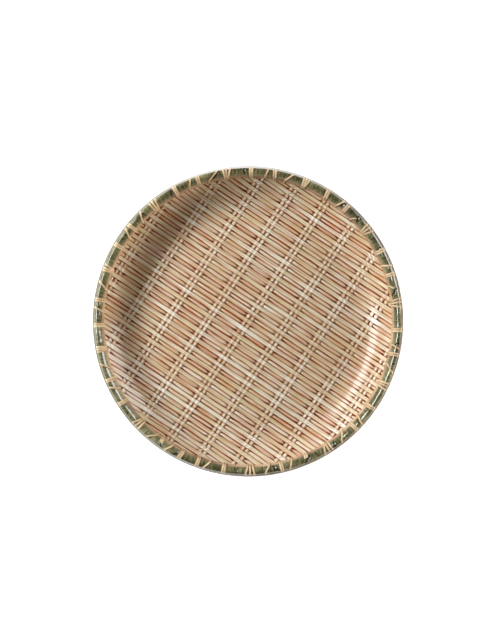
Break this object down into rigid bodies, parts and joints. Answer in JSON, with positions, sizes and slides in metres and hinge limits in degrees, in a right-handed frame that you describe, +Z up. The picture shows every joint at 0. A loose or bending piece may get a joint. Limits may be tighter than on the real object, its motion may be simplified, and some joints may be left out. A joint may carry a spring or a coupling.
{
  "type": "woven bamboo plate",
  "caption": "Shallow round woven bamboo plate: split wefts folded over and under paired stakes, a green bamboo rim hoop lashed with thin strips, and a pale outer hoop.",
  "frame": {"origin": "centre of the underside, where the plate stands", "axes": "+Z up out of the plate, +X to the right and +Y to the top of the view from above"},
  "size_m": [0.25, 0.25, 0.0243],
  "materials": {
    "weft_bamboo": "split bamboo under clear gloss lacquer",
    "stake_bamboo": "pale split bamboo under clear gloss lacquer",
    "green_bamboo": "green bamboo skin under clear gloss lacquer",
    "tan_bamboo": "brown bamboo strip, satin",
    "pale_bamboo": "scraped pale bamboo under clear gloss lacquer",
    "lashing_bamboo": "thin tan bamboo strip under clear gloss lacquer"
  },
  "bodies": {
    "root": {"weft_01": "weft_bamboo", "weft_02": "weft_bamboo", "weft_03": "weft_bamboo", "weft_04": "weft_bamboo", "weft_05": "weft_bamboo", "weft_06": "weft_bamboo", "weft_07": "weft_bamboo", "weft_08": "weft_bamboo", "weft_09": "weft_bamboo", "weft_10": "weft_bamboo", "weft_11": "weft_bamboo", "weft_12": "weft_bamboo", "weft_13": "weft_bamboo", "weft_14": "weft_bamboo", "weft_15": "weft_bamboo", "weft_16": "weft_bamboo", "weft_17": "weft_bamboo", "weft_18": "weft_bamboo", "weft_19": "weft_bamboo", "weft_20": "weft_bamboo", "weft_21": "weft_bamboo", "weft_22": "weft_bamboo", "weft_23": "weft_bamboo", "stake_01": "stake_bamboo", "stake_02": "stake_bamboo", "stake_03": "stake_bamboo", "stake_04": "stake_bamboo", "stake_05": "stake_bamboo", "stake_06": "stake_bamboo", "stake_07": "stake_bamboo", "stake_08": "stake_bamboo", "stake_09": "stake_bamboo", "stake_10": "stake_bamboo", "stake_11": "stake_bamboo", "stake_12": "stake_bamboo", "stake_13": "stake_bamboo", "stake_14": "stake_bamboo", "stake_15": "stake_bamboo", "stake_16": "stake_bamboo", "stake_17": "stake_bamboo", "stake_18": "stake_bamboo", "rim_cap_hoop": "green_bamboo", "rim_filler_strip": "tan_bamboo", "rim_outer_hoop": "pale_bamboo", "lashing_01": "lashing_bamboo", "lashing_02": "lashing_bamboo", "lashing_03": "lashing_bamboo", "lashing_04": "lashing_bamboo", "lashing_05": "lashing_bamboo", "lashing_06": "lashing_bamboo", "lashing_07": "lashing_bamboo", "lashing_08": "lashing_bamboo", "lashing_09": "lashing_bamboo", "lashing_10": "lashing_bamboo", "lashing_11": "lashing_bamboo", "lashing_12": "lashing_bamboo"}
  },
  "joints": []
}
